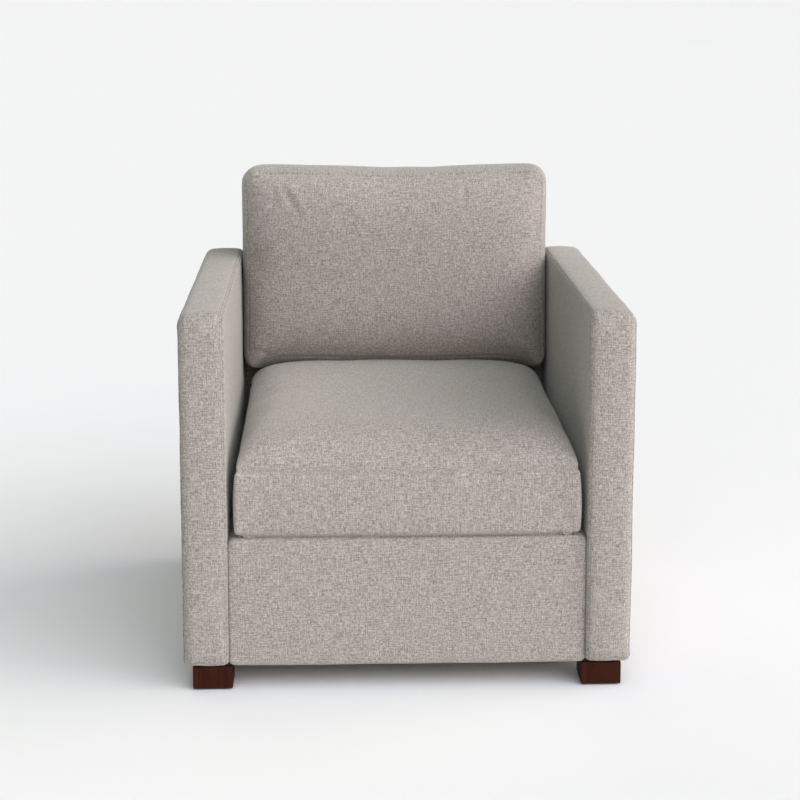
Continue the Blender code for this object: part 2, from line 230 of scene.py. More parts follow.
# Uneven threads and flecks: noise scale across and up in threads, detail, and share of the tone.
WEAVE_NOISE = {
    "warp": (0.90, 0.26, 0.0, 1.5),
    "weft": (0.26, 0.90, 0.0, 1.7),
    "speck": (0.80, 0.80, 0.0, 0.7),
    "mottle": (0.07, 0.07, 2.0, 0.16),
    "slub_up": (0.85, 0.06, 0.0, 1.0),
    "slub_across": (0.06, 0.85, 0.0, 1.2),
}
SUNK_WARP_SHARE = 0.5
# Shade between the threads and what the tops add to it, and the same for the relief.
HOLE_SHADE, THREAD_SHADE = 0.83, 0.22
TONE_RELIEF, THREAD_RELIEF = 0.35, 0.6
WEAVE_RELIEF = 0.00045

# Dark stained wood, from the grain's dark to its light.
WOOD_STOPS = (
    (0.30, (0.016, 0.0028, 0.0008)),
    (0.52, (0.037, 0.0078, 0.0024)),
    (0.75, (0.062, 0.0155, 0.0055)),
)
FLOOR_DARK = (0.86, 0.86, 0.86)
FLOOR_LIGHT = (0.88, 0.88, 0.88)
BACKDROP_GLOW = 0.92

BODY_FRAME, BODY_SEAT, BODY_BACK = "chair_frame", "seat_cushion", "back_cushion"
SIDES = (("left", -1), ("right", 1))
# Near-black strips hung behind the gaps beside the front rail and the back: painted shade in those
# gaps.
GAP_SHADE_HALF_WIDTH = 0.0085
GAP_SHADE_THICK = 0.0004
GAP_SHADE_INSET = 0.001
GAP_SHADE_BELOW_RAIL = 0.006
GAP_SHADE_STEP = 0.02


# ------------ materials


class Nodes:
    """Short calls for wiring one material's node tree."""

    def __init__(self, name):
        self.material = bpy.data.materials.new(name)
        self.material.use_nodes = True
        self.tree = self.material.node_tree
        self.shader = self.tree.nodes["Principled BSDF"]

    def add(self, kind, values=(), **settings):
        """Add one node; values are numbers or sockets, in the order of its inputs."""
        made = self.tree.nodes.new(kind)
        for key, value in settings.items():
            setattr(made, key, value)
        pairs = values.items() if isinstance(values, dict) else enumerate(values)
        for key, value in pairs:
            self.feed(made.inputs[key], value)
        return made

    def feed(self, socket, value):
        """Link a socket to a value, or set the value on it."""
        if isinstance(value, bpy.types.NodeSocket):
            self.tree.links.new(value, socket)
        else:
            socket.default_value = value

    def math(self, operation, *values):
        """Add a Math node and give its output."""
        return self.add("ShaderNodeMath", values, operation=operation).outputs[0]

    def vector(self, operation, *values):
        """Add a Vector Math node and give its output."""
        return self.add("ShaderNodeVectorMath", values, operation=operation).outputs[0]

    def scaled(self, vector, scale):
        """Multiply a vector by a vector and give the output."""
        return self.vector("MULTIPLY", vector, scale)

    def noise(self, vector, detail=1.0, roughness=0.5):
        """Add a noise texture at scale 1 and give its value."""
        values = {"Vector": vector, "Scale": 1.0, "Detail": detail, "Roughness": roughness}
        return self.add("ShaderNodeTexNoise", values).outputs[0]

    def ramp(self, factor, stops):
        """Map a value through colour stops."""
        node = self.add("ShaderNodeValToRGB", (factor,))
        elements = node.color_ramp.elements
        while len(elements) < len(stops):
            elements.new(1.0)
        for element, (place, colour) in zip(elements, stops):
            element.position = place
            element.color = (*colour, 1.0)
        return node.outputs[0]

    def bump(self, height, distance, strength):
        """Turn a height into the shader's normal."""
        values = {"Height": height, "Distance": distance, "Strength": strength}
        self.feed(self.shader.inputs["Normal"], self.add("ShaderNodeBump", values).outputs[0])

    def surface(self, **values):
        """Set plain values on the shader, by input name with underscores for spaces."""
        for key, value in values.items():
            self.shader.inputs[key.replace("_", " ")].default_value = value


def linen(name, colour):
    """Make the oatmeal linen-look plain weave, laid out by each piece's weave map."""
    n = Nodes(name)
    uv = n.add("ShaderNodeUVMap", uv_map="weave").outputs[0]
    wander = {"Vector": uv, "Scale": DRIFT_SCALE, "Detail": 1.0}
    drift = n.add("ShaderNodeTexNoise", wander).outputs["Color"]
    drift = n.vector("SUBTRACT", drift, (0.5, 0.5, 0.5))
    drift = n.scaled(drift, (THREAD_DRIFT, THREAD_DRIFT, 0.0))
    laid = n.vector("ADD", uv, drift)
    laid = n.scaled(laid, (1.0 / THREAD_PITCH, 1.0 / THREAD_PITCH, 1.0))
    split = n.add("ShaderNodeSeparateXYZ", (laid,))
    across = n.math("SINE", n.math("MULTIPLY", split.outputs[0], math.pi))
    along = n.math("SINE", n.math("MULTIPLY", split.outputs[1], math.pi))
    crossing = n.math("MULTIPLY", across, along)
    layers = {}
    for layer, (wide, tall, detail, share) in WEAVE_NOISE.items():
        layers[layer] = (n.noise(n.scaled(laid, (wide, tall, 1.0)), detail), share)
    weft_on_top = n.math("SUBTRACT", 1.0, n.math("GREATER_THAN", crossing, 0.0))
    sunk_warp = n.math("MULTIPLY", layers["warp"][0], weft_on_top)
    layers["sunk_warp"] = (sunk_warp, SUNK_WARP_SHARE)
    tone = 0.5 - 0.5 * CLOTH_CONTRAST * sum(share for _, share in layers.values())
    for value, share in layers.values():
        tone = n.math("MULTIPLY_ADD", value, share * CLOTH_CONTRAST, tone)
    dark = tuple(c * k for c, k in zip(colour, CLOTH_DARK))
    light = tuple(c * k for c, k in zip(colour, CLOTH_LIGHT))
    mixed = n.ramp(tone, ((0.0, dark), (0.5, colour), (1.0, light)))
    pebble = n.math("POWER", n.math("ABSOLUTE", crossing), 0.5)
    shade = n.math("MULTIPLY_ADD", pebble, THREAD_SHADE, HOLE_SHADE)
    shaded = n.add("ShaderNodeVectorMath", {0: mixed, "Scale": shade}, operation="SCALE")
    n.feed(n.shader.inputs["Base Color"], shaded.outputs[0])
    height = n.math("MULTIPLY_ADD", tone, TONE_RELIEF, n.math("MULTIPLY", pebble, THREAD_RELIEF))
    n.bump(height, WEAVE_RELIEF, 0.8)
    n.surface(Roughness=0.92, Specular_IOR_Level=0.2)
    n.surface(Sheen_Weight=CLOTH_SHEEN, Sheen_Roughness=0.45, Sheen_Tint=SHEEN_TINT)
    return n.material


def espresso_wood(name):
    """Make dark stained wood with a satin finish and a fine upright grain."""
    n = Nodes(name)
    place = n.add("ShaderNodeTexCoord").outputs["Object"]
    grain = n.noise(n.scaled(place, (260.0, 260.0, 14.0)), 4.0, 0.6)
    figure = n.noise(n.scaled(place, (45.0, 45.0, 5.0)), 2.0)
    tone = n.math("ADD", n.math("MULTIPLY", grain, 0.6), n.math("MULTIPLY", figure, 0.4))
    n.feed(n.shader.inputs["Base Color"], n.ramp(tone, WOOD_STOPS))
    n.feed(n.shader.inputs["Roughness"], n.math("MULTIPLY_ADD", grain, 0.25, 0.42))
    n.bump(grain, 0.0002, 0.5)
    n.surface(Specular_IOR_Level=0.10)
    return n.material


def plain_stock(name, dark, light, scale, roughness, bump, metallic=0.0):
    """Make a simple mottled material for stock such as raw wood, felt or wire."""
    n = Nodes(name)
    place = n.add("ShaderNodeTexCoord").outputs["Object"]
    tone = n.noise(n.scaled(place, scale), 3.0, 0.6)
    n.feed(n.shader.inputs["Base Color"], n.ramp(tone, ((0.3, dark), (0.7, light))))
    n.bump(tone, bump, 0.6)
    n.surface(Roughness=roughness, Metallic=metallic)
    return n.material


def pale_floor(name):
    """Make the plain pale studio floor."""
    n = Nodes(name)
    place = n.add("ShaderNodeTexCoord").outputs["Object"]
    tone = n.noise(n.scaled(place, (0.5, 0.5, 0.5)), 2.0)
    stops = ((0.0, FLOOR_DARK), (1.0, FLOOR_LIGHT))
    n.feed(n.shader.inputs["Base Color"], n.ramp(tone, stops))
    n.surface(Roughness=0.9, Specular_IOR_Level=0.1)
    return n.material


def pale_backdrop(name):
    """Make the backdrop behind the floor's far edge, which lights nothing."""
    n = Nodes(name)
    n.surface(Base_Color=(0, 0, 0, 1), Specular_IOR_Level=0.0)
    n.surface(Emission_Color=(1.0, 1.0, 1.0, 1.0), Emission_Strength=BACKDROP_GLOW)
    return n.material


CLOTH = linen("oatmeal_linen", CLOTH_COLOUR)
THREAD = plain_stock(
    "stitch_thread", (0.20, 0.175, 0.155), (0.30, 0.27, 0.24), (900, 900, 900), 0.8, 0.0001
)
# Near-black cloth: the real dust cover under the frame, and also the strips of painted shade in the
# gaps.
DUST_CLOTH_AND_GAP_SHADE = plain_stock(
    "dust_cloth", (0.010, 0.010, 0.010), (0.032, 0.032, 0.033), (700, 90, 700), 0.95, 0.0002
)


# ------------ mesh helpers


def link_new(name, data):
    """Add an object with the given data to the scene."""
    obj = bpy.data.objects.new(name, data)
    bpy.context.scene.collection.objects.link(obj)
    return obj


def smooth_mesh(name, vertices, faces):
    """Make a smooth-shaded mesh."""
    mesh = bpy.data.meshes.new(name)
    mesh.from_pydata(vertices, [], faces)
    mesh.polygons.foreach_set("use_smooth", [True] * len(mesh.polygons))
    return mesh


def points_of(mesh):
    """Give the places of a mesh's vertices as an array."""
    return np.array([vertex.co for vertex in mesh.vertices])


def normals_of(mesh):
    """Give the normals of a mesh's vertices as an array."""
    return np.array([vertex.normal for vertex in mesh.vertices])


def move_points(mesh, places):
    """Put a mesh's vertices at new places."""
    mesh.vertices.foreach_set("co", places.ravel())
    mesh.update()


def centred(value, low, high):
    """Give -1 at low, 0 halfway and 1 at high."""
    return 2 * (value - (low + high) / 2) / (high - low)


def dome(share, power, rise=1):
    """Give a dome, 0 at -1 and 1 and nearly 1 between; a rise under 1 makes steep sides."""
    return np.clip(1 - np.abs(share) ** power, 0, 1) ** rise


def dent(distance, half_width):
    """Give a smooth 0 to 1 dent profile at some distance from its middle line."""
    return np.exp(-((distance / half_width) ** 2))


def smooth_fall(value, start, end):
    """Give 0 before start, 1 after end and an even rise between."""
    share = np.clip((np.asarray(value) - start) / (end - start), 0.0, 1.0)
    return share * share * (3 - 2 * share)


def waves(points, scale, amount, seed):
    """Give smooth random heights for a list of points."""
    shift = Vector((seed * 7.3, seed * 3.1, seed * 5.7))
    return np.array([amount * noise.noise(Vector(p) * scale + shift) for p in points])


def rounding(radius, angles, t_start=0.0, t_sign=1, base=0.0):
    """Give the profile rings of a rounded edge, by angle from the sheet, in degrees."""
    rings = []
    for angle in angles:
        turn = math.radians(angle)
        out, deep = math.sin(turn), math.cos(turn)
        t = t_start + t_sign * radius * (1 - deep)
        rings.append((base + radius * out, t, out, -t_sign * deep))
    return rings


def spread(low, high, step):
    """Give places from low to high, closer together near the two ends."""
    if high - low < NARROW_SHEET:
        return list(np.linspace(low, high, NARROW_LINES))
    first, last = low + EDGE_BAND, high - EDGE_BAND
    count = max(3, round((last - first) / step) + 1)
    inner = list(np.linspace(first, last, count))
    return [low + e for e in EDGE_LINES] + inner + [high - e for e in reversed(EDGE_LINES)]


def round_corner(a, b, low, high, radii):
    """Round a rectangle's corners: move a point, and give its outward direction.

    radii holds a radius, or one for low and high a, first for low b and then for high b.
    """
    for sign_b, pair in zip((-1, 1), radii):
        pair = pair if isinstance(pair, tuple) else (pair, pair)
        for sign_a, radius in zip((-1, 1), pair):
            centre_a = low[0] + radius if sign_a < 0 else high[0] - radius
            centre_b = low[1] + radius if sign_b < 0 else high[1] - radius
            da, db = (a - centre_a) * sign_a, (b - centre_b) * sign_b
            if da > 1e-9 and db > 1e-9:
                reach = math.hypot(da, db)
                scale = max(da, db) / reach
                moved = (centre_a + sign_a * da * scale, centre_b + sign_b * db * scale)
                return moved, (sign_a * da / reach, sign_b * db / reach)
    sides = ((a - low[0], (-1, 0)), (high[0] - a, (1, 0)))
    sides += ((b - low[1], (0, -1)), (high[1] - b, (0, 1)))
    return (a, b), min(sides)[1]


class Slab:
    """A padded slab of quads: a front sheet, rings round the edge and a rear sheet.

    Places are (a, b, t): a and b across the sheets and t through the slab, 0 at the front.
    profile lists each ring's (outward offset, t, outward share, t share) from the front
    sheet's edge to the rear sheet's edge; the shares make the surface direction there.
    """

    def __init__(self, low, high, radii, profile, step=GRID_STEP):
        self.profile = profile
        self.low, self.high = low, high
        places_a, places_b = spread(low[0], high[0], step), spread(low[1], high[1], step)
        self.na, self.nb = len(places_a), len(places_b)
        cells = [(i, j) for j in range(self.nb) for i in range(self.na)]
        self.rounded = {
            (i, j): round_corner(places_a[i], places_b[j], low, high, radii) for i, j in cells
        }
        self.loop = self.edge_cells()
        self.edge = [self.rounded[cell][0] for cell in self.loop]
        self.out = [self.rounded[cell][1] for cell in self.loop]
        strides = [math.dist(one[:2], other[:2]) for one, other in zip(profile, profile[1:])]
        self.arc = list(np.cumsum([0.0] + strides))
        self.points, self.directions, self.arcs = [], [], []
        on_edge = set(self.loop)
        self.front = {}
        for cell in cells:
            shares = profile[0][2:] if cell in on_edge else (0.0, -1.0)
            arc = -self.edge_distance(cell)
            self.front[cell] = self.add(cell, 0.0, profile[0][1], *shares, arc)
        self.rings = [[self.front[cell] for cell in self.loop]]
        for ring, arc in list(zip(profile, self.arc))[1:-1]:
            self.rings.append([self.add(cell, *ring, arc) for cell in self.loop])
        self.rear = {}
        for cell in cells:
            shares = profile[-1][2:] if cell in on_edge else (0.0, 1.0)
            arc = self.arc[-1] + (0.0 if cell in on_edge else self.edge_distance(cell))
            self.rear[cell] = self.add(cell, 0.0, profile[-1][1], *shares, arc)
        self.rings.append([self.rear[cell] for cell in self.loop])
        self.points = np.array(self.points)
        self.directions = np.array(self.directions)
        self.arcs = np.array(self.arcs)
        middle = self.points[self.rings[len(self.rings) // 2]]
        strides = np.linalg.norm(np.roll(middle, -1, axis=0) - middle, axis=1)
        self.around = np.concatenate([[0.0], np.cumsum(strides)])

    def edge_cells(self):
        """Give the cells of a sheet's edge in order round it."""
        last_a, last_b = self.na - 1, self.nb - 1
        loop = [(0, j) for j in range(last_b + 1)] + [(i, last_b) for i in range(1, last_a + 1)]
        loop += [(last_a, j) for j in range(last_b - 1, -1, -1)]
        return loop + [(i, 0) for i in range(last_a - 1, 0, -1)]

    def edge_distance(self, cell):
        """Give how far a cell of a sheet is from the sheet's square edge."""
        a, b = self.rounded[cell][0]
        return min(a - self.low[0], self.high[0] - a, b - self.low[1], self.high[1] - b)

    def add(self, cell, offset, t, share_out, share_t, arc):
        """Add a vertex at a cell, moved outward by offset, and give its number."""
        (a, b), out = self.rounded[cell]
        self.points.append((a + out[0] * offset, b + out[1] * offset, t))
        self.directions.append((out[0] * share_out, out[1] * share_out, share_t))
        self.arcs.append(arc)
        return len(self.points) - 1

    def raise_by(self, heights):
        """Move every vertex along its surface direction."""
        self.points += self.directions * np.asarray(heights)[:, None]

    def sheet(self, which):
        """Give the quads of the front or rear sheet, each corner as (vertex, u, v).

        u and v are lengths along the cloth from the sheet's middle, so a crown isn't stretched.
        """
        index = self.front if which == "front" else self.rear
        order = [[index[(i, j)] for i in range(self.na)] for j in range(self.nb)]
        grid = self.points[order]
        lay = []
        for axis in (1, 0):
            strides = np.linalg.norm(np.diff(grid, axis=axis), axis=2)
            pad = [(0, 0), (1, 0)] if axis == 1 else [(1, 0), (0, 0)]
            lengths = np.cumsum(np.pad(strides, pad), axis=axis)
            middle = np.take(lengths, [lengths.shape[axis] // 2], axis=axis)
            lay.append(lengths - middle)
        quads = []
        for j in range(self.nb - 1):
            for i in range(self.na - 1):
                cells = ((i, j), (i + 1, j), (i + 1, j + 1), (i, j + 1))
                quads.append([(index[(p, q)], lay[0][q, p], lay[1][q, p]) for p, q in cells])
        return quads

    def band(self, first, last, layout):
        """Give the quads between two rings, laid out as front, band or rear cloth."""
        quads = []
        count = len(self.loop)
        for k in range(first, last):
            for m in range(count):
                quad = []
                for ring, place in ((k, m), (k, m + 1), (k + 1, m + 1), (k + 1, m)):
                    at = place % count
                    quad.append((self.rings[ring][at], *self.lay(ring, place, at, layout)))
                quads.append(quad)
        return quads

    def lay(self, ring, place, at, layout):
        """Give the weave coordinates of one ring vertex."""
        if layout == "band":
            return self.arc[ring], self.around[place]
        reach = self.arc[ring] if layout == "front" else self.arc[-1] - self.arc[ring]
        (a, b), out = self.edge[at], self.out[at]
        a, b = a - (self.low[0] + self.high[0]) / 2, b - (self.low[1] + self.high[1]) / 2
        return a + out[0] * reach, b + out[1] * reach

    def covers(self, seam, outside_seam):
        """Give the quads of the inside panel, the band and the outside panel."""
        inside = self.sheet("front") + self.band(0, seam, "front")
        outside = self.band(outside_seam, len(self.rings) - 1, "rear") + self.sheet("rear")
        return inside, self.band(seam, outside_seam, "band"), outside


def make_object(name, slab, quads, place, keep=None):
    """Make a mesh object of some of a slab's quads; place maps (a, b, t) to the world."""
    if keep:
        quads = [q for q in quads if keep(np.mean([slab.points[c[0]] for c in q], axis=0))]
    used = sorted({corner[0] for quad in quads for corner in quad})
    renumber = {old: new for new, old in enumerate(used)}
    vertices = [Vector(place(*slab.points[old])) for old in used]
    first = quads[len(quads) // 2]
    flat = [vertices[renumber[corner[0]]] for corner in first]
    across = (flat[2] - flat[0]).cross(flat[3] - flat[1])
    probe = slab.points[first[0][0]] + 0.001 * slab.directions[first[0][0]]
    outward = Vector(place(*probe)) - flat[0]
    if across.dot(outward) < 0:
        quads = [list(reversed(quad)) for quad in quads]
    mesh = smooth_mesh(name, vertices, [[renumber[c[0]] for c in quad] for quad in quads])
    layer = mesh.uv_layers.new(name="weave")
    layer.data.foreach_set("uv", [x for quad in quads for c in quad for x in c[1:]])
    return link_new(name, mesh), renumber


def finish_piece(obj, material, body, replaced=()):
    """Give a piece its material and the body it rides on, and hide the CAD nodes it replaces."""
    obj.data.materials.append(material)
    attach(obj, body)
    if replaced:
        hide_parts(*replaced)


def add_cover(name, slab, quads, place, node, keep=None):
    """Add a fixed cover of cloth on thin padding, thickened inwards, for a CAD node."""
    obj, _ = make_object(name, slab, quads, place, keep)
    shell = obj.modifiers.new("Cover thickness", "SOLIDIFY")
    shell.thickness = COVER_THICK
    shell.offset = -1
    shell.use_rim = True
    finish_piece(obj, CLOTH, BODY_FRAME, replaced=(node,))


# ------------ stitching


def add_stitch(vertices, faces, centre, along, up):
    """Add one stitch: a short strand whose ends sink into the cloth."""
    side = along.cross(up)
    base = len(vertices)
    for place, size in STITCH_RINGS:
        sink = -STITCH_SINK * STITCH_RADIUS * (2 * place) ** 2
        middle = centre + along * (place * STITCH_LENGTH) + up * sink
        for corner in range(STITCH_SIDES):
            turn = 2 * math.pi * corner / STITCH_SIDES
            ring = side * math.cos(turn) + up * math.sin(turn)
            vertices.append(middle + ring * (STITCH_RADIUS * size))
    for level in range(len(STITCH_RINGS) - 1):
        for corner in range(STITCH_SIDES):
            low = base + level * STITCH_SIDES + corner
            low_next = base + level * STITCH_SIDES + (corner + 1) % STITCH_SIDES
            faces.append((low, low_next, low_next + STITCH_SIDES, low + STITCH_SIDES))
    last = base + (len(STITCH_RINGS) - 1) * STITCH_SIDES
    faces.append(tuple(base + corner for corner in reversed(range(STITCH_SIDES))))
    faces.append(tuple(last + corner for corner in range(STITCH_SIDES)))


def stitch_row(name, path):
    """Lay a row of single stitches along a path of (point, direction away from the cloth)."""
    points = [Vector(p) for p, _ in path]
    ups = [Vector(u) for _, u in path]
    reach = [0.0]
    for before, after in zip(points, points[1:]):
        reach.append(reach[-1] + (after - before).length)
    vertices, faces = [], []
    segment = 0
    for index in range(int(reach[-1] / STITCH_PITCH)):
        middle = (index + 0.5) * STITCH_PITCH
        while segment < len(reach) - 2 and reach[segment + 1] < middle:
            segment += 1
        share = (middle - reach[segment]) / max(reach[segment + 1] - reach[segment], 1e-9)
        centre = points[segment].lerp(points[segment + 1], share)
        along = (points[segment + 1] - points[segment]).normalized()
        up = ups[segment].lerp(ups[segment + 1], share).normalized()
        add_stitch(vertices, faces, centre, along, up)
    finish_piece(link_new(name, smooth_mesh(name, vertices, faces)), THREAD, BODY_FRAME)


# ------------ arms


def tighten_foot(slab, first, amount):
    """Make a slab's rear rounding, from ring first on, tighter by amount where it faces down."""
    for ring, share in list(zip(slab.rings, slab.profile))[first:]:
        for vertex, (out_a, out_b) in zip(ring, slab.out):
            by = amount * float(smooth_fall(-out_b, *UNDERSIDE))
            outward, deep = by * (1 - share[2]), by * (1 - share[3])
            slab.points[vertex] += (out_a * outward, out_b * outward, deep)


def arm_profile(thick):
    """Give an arm's rings from inside panel to outside panel, and the numbers of named ones."""
    inner, outer = ARM_INNER_RADIUS, ARM_OUTER_RADIUS
    stitch = math.degrees(STITCH_OFFSET / inner)
    seam = ARM_SEAM_ANGLE
    angles = (0, 15, 26, seam - stitch, seam - 12, seam - 6, seam)
    angles += (seam + 6, seam + 12, seam + stitch, 90)
    profile = [(0.0, 0.0, 0.0, -1.0)] + rounding(inner, angles, base=outer - inner)
    rings = {"seam": 1 + angles.index(seam), "band_start": len(profile) - 1}
    rings["stitches"] = (rings["seam"] - 3, rings["seam"] + 3)
    middle = np.linspace(inner, thick - outer, BAND_LINES)[1:-1]
    profile += [(outer, t, 1.0, 0.0) for t in middle]
    rings["band_end"] = len(profile)
    seam = OUTSIDE_SEAM_ANGLE
    profile += rounding(outer, (90, 78, 66, 54, 42, 32, 23, seam + 4, seam, seam - 4, 0), thick, -1)
    rings["outside_seam"] = len(profile) - 3
    return profile, rings


def pad_arm(slab, rings, low, high, seed):
    """Raise an arm's padding, and press in its seams and its topstitching."""
    a, b, t = slab.points.T
    u, v = centred(a, low[1], high[1]), centred(b, low[2], high[2])
    on_sheet = (slab.arcs < 0) | (slab.arcs > slab.arc[-1])
    heights = np.where(on_sheet, PANEL_PUFF * dome(u, 6) * dome(v, 6), 0.0)
    band = high[0] - low[0] - ARM_INNER_RADIUS - ARM_OUTER_RADIUS
    crown = np.clip(np.sin(math.pi * (t - ARM_INNER_RADIUS) / band), 0, 1)
    on_band = slab.arcs > slab.arc[rings["band_start"]]
    on_band &= slab.arcs < slab.arc[rings["band_end"]]
    heights += np.where(on_band, BAND_CROWN * crown, 0.0)
    heights += waves(slab.points, *ARM_WAVES, seed) + waves(slab.points, *ARM_FINE_WAVES, 5)
    gather = 1 + waves(slab.points, *GATHERS, 9)
    for seam, share in (("seam", 1.0), ("outside_seam", OUTSIDE_SEAM_SHARE)):
        gap = np.abs(slab.arcs - slab.arc[rings[seam]])
        heights -= share * SEAM_DEPTH * dent(gap, SEAM_HALF_WIDTH)
        heights += SEAM_SWELL * gather * dent(gap - SEAM_SWELL_OFFSET, SEAM_SWELL_HALF_WIDTH)
    gap = np.abs(slab.arcs - slab.arc[rings["seam"]])
    heights -= STITCH_DIP * dent(gap - STITCH_OFFSET, STITCH_DIP_HALF_WIDTH)
    slab.raise_by(heights)


def build_arm(side, sign):
    """Build one padded arm: inside panel, wrap-around band, outside panel and topstitching."""
    low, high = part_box(f"{side}_arm_band")
    inner_x = min(abs(low[0]), abs(high[0]))
    r = ARM_OUTER_RADIUS
    profile, rings = arm_profile(high[0] - low[0])
    slab = Slab(
        (low[1] + r, low[2] + r),
        (high[1] - r, high[2] - r),
        (ARM_FOOT_RADIUS - r, ARM_NOSE_RADIUS - r),
        profile,
    )
    tighten_foot(slab, rings["band_end"], r - ARM_HEM_RADIUS)
    pad_arm(slab, rings, low, high, sign + 2)

    def place(y, z, depth):
        return (sign * (inner_x + depth), y, z)

    covers = slab.covers(rings["seam"], rings["outside_seam"])
    for part, quads in zip(("inside_panel", "band", "outside_panel"), covers):
        add_cover(f"{side}_arm_{part}_cover", slab, quads, place, f"{side}_arm_{part}")
    for tag, ring in zip(("inner", "outer"), rings["stitches"]):
        path = []
        for vertex, out in zip(slab.rings[ring], slab.out):
            if -out[1] <= UNDERSIDE[0]:
                point = slab.points[vertex] + STITCH_LIFT * slab.directions[vertex]
                start = Vector(place(*point))
                path.append((start, Vector(place(*(point + slab.directions[vertex]))) - start))
        stitch_row(f"{side}_arm_topstitch_{tag}", path)


# ------------ rail and back


def build_rail():
    """Build the padded front rail panel with its lip over the rail."""
    low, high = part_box("front_rail_cover")
    r = RAIL_EDGE_RADIUS
    depth = high[1] - low[1]
    profile = rounding(r, (0, 15, 30, 45, 60, 75, 90))
    profile += [(r, t, 1.0, 0.0) for t in np.linspace(r, depth, BAND_LINES)[1:]]
    profile += [(r - RAIL_LIP, depth + RAIL_LIP_CLEARANCE, 0.0, 1.0)]
    slab = Slab(
        (low[0] + r, low[2] + r),
        (high[0] - r, high[2] - r),
        (RAIL_FOOT_RADIUS - r, RAIL_TOP_RADIUS - r),
        profile,
    )
    a, b, t = slab.points.T
    u, v = a / high[0], centred(b, low[2], high[2])
    heights = np.where(slab.arcs < 0, PANEL_PUFF * dome(u, 6) * dome(v, 4), 0.0)
    heights += np.where(t < RAIL_WAVES_DEPTH, waves(slab.points, *RAIL_WAVES, 4), 0.0)
    slab.raise_by(heights)
    press = RAIL_SIDE_PRESS * smooth_fall(np.abs(u), RAIL_PRESS_START, 1.0)
    slab.points[:, 0] *= 1 + press / high[0]

    def place(x, z, deep):
        return (x, low[1] + deep, z)

    quads = slab.sheet("front") + slab.band(0, len(profile) - 1, "front")
    add_cover("front_rail_panel", slab, quads, place, "front_rail_cover")


def build_gap_shade_strips():
    """Hang near-black strips behind the gaps beside the rail and the back: painted shade there."""
    low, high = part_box("front_rail_cover")
    post_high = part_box("rear_left_post")[1]
    inner_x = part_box("right_arm_inside_panel")[0][0]
    front_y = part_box("front_seat_rail")[0][1] - 2 * GAP_SHADE_THICK
    rear_y = post_high[1] + 2 * GAP_SHADE_THICK
    middle = GAP_SHADE_THICK / 2
    profile = ((0.0, 0.0, 0.0, -1.0), (middle, middle, 1.0, 0.0), (0.0, GAP_SHADE_THICK, 0.0, 1.0))
    ends = (("front", front_y, high[2] - GAP_SHADE_BELOW_RAIL), ("rear", rear_y, post_high[2]))
    for end, y, top in ends:
        for side, sign in SIDES:
            slab = Slab(
                (inner_x - GAP_SHADE_HALF_WIDTH, low[2] + GAP_SHADE_INSET),
                (inner_x + GAP_SHADE_HALF_WIDTH, top),
                (GAP_SHADE_INSET, GAP_SHADE_INSET),
                profile,
                GAP_SHADE_STEP,
            )

            def place(x, z, deep, sign=sign, y=y):
                return (sign * x, y + deep, z)

            quads = slab.sheet("front") + slab.band(0, 2, "front") + slab.sheet("rear")
            obj, _ = make_object(f"{end}_{side}_gap_shade_strip", slab, quads, place)
            finish_piece(obj, DUST_CLOTH_AND_GAP_SHADE, BODY_FRAME)


def back_profile(depth):
    """Give the back's rings from inside to outside panel, and the numbers of the two seams."""
    r = BACK_EDGE_RADIUS
    angles = (0, 15, 30, 45, BACK_SEAM_ANGLE, 55, 70, 90)
    profile = rounding(r, angles)
    middle = np.linspace(r, depth - r, BACK_BAND_LINES)[1:-1]
    profile += [(r, t, 1.0, 0.0) for t in middle]
    seam = OUTSIDE_SEAM_ANGLE
    profile += rounding(r, (90, 70, 55, 40, 25, seam + 5, seam, seam - 5, 0), depth, -1)
    return profile, angles.index(BACK_SEAM_ANGLE), len(profile) - 3


def build_back():
    """Build the covers of the back: inside panel, band over top and sides, outside panel."""
    low, outside_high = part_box("outside_back_panel")
    inside_low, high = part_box("inside_back_panel")
    rear_y = outside_high[1]
    depth = rear_y - inside_low[1]
    r = BACK_EDGE_RADIUS
    profile, seam, outside_seam = back_profile(depth)
    slab = Slab(
        (low[0] + r, low[2] + r),
        (high[0] - r, high[2] - r),
        (BACK_FOOT_RADIUS - r, BACK_CORNER_RADIUS - r),
        profile,
    )
    a, b, _ = slab.points.T
    u, v = a / high[0], centred(b, low[2], high[2])
    on_sheet = (slab.arcs < 0) | (slab.arcs > slab.arc[-1])
    heights = np.where(on_sheet, BACK_PUFF * dome(u, 6) * dome(v, 6), 0.0)
    heights += waves(slab.points, *BACK_WAVES, 6)
    for ring in (seam, outside_seam):
        heights -= SEAM_DEPTH * dent(slab.arcs - slab.arc[ring], SEAM_HALF_WIDTH)
    slab.raise_by(heights)
    arm_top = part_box("left_arm_band")[1][2]
    above = smooth_fall(b, arm_top - BACK_TAPER_BELOW, arm_top + BACK_TAPER_ABOVE)
    slab.points[:, 0] -= BACK_TAPER * u * above

    def place(x, z, deep):
        front = inside_low[1] + (max(z, inside_low[2]) - inside_low[2]) * math.tan(RAKE)
        return (x, front + (rear_y - front) * deep / depth, z)

    def above_deck(middle):
        return middle[1] > inside_low[2] - BACK_DECK_OVERLAP

    inside, band, outside = slab.covers(seam, outside_seam)
    add_cover("inside_back_cover", slab, inside, place, "inside_back_panel", above_deck)
    add_cover("back_band_cover", slab, band, place, "back_band", above_deck)
    add_cover("outside_back_cover", slab, outside, place, "outside_back_panel")


# ------------ cushions


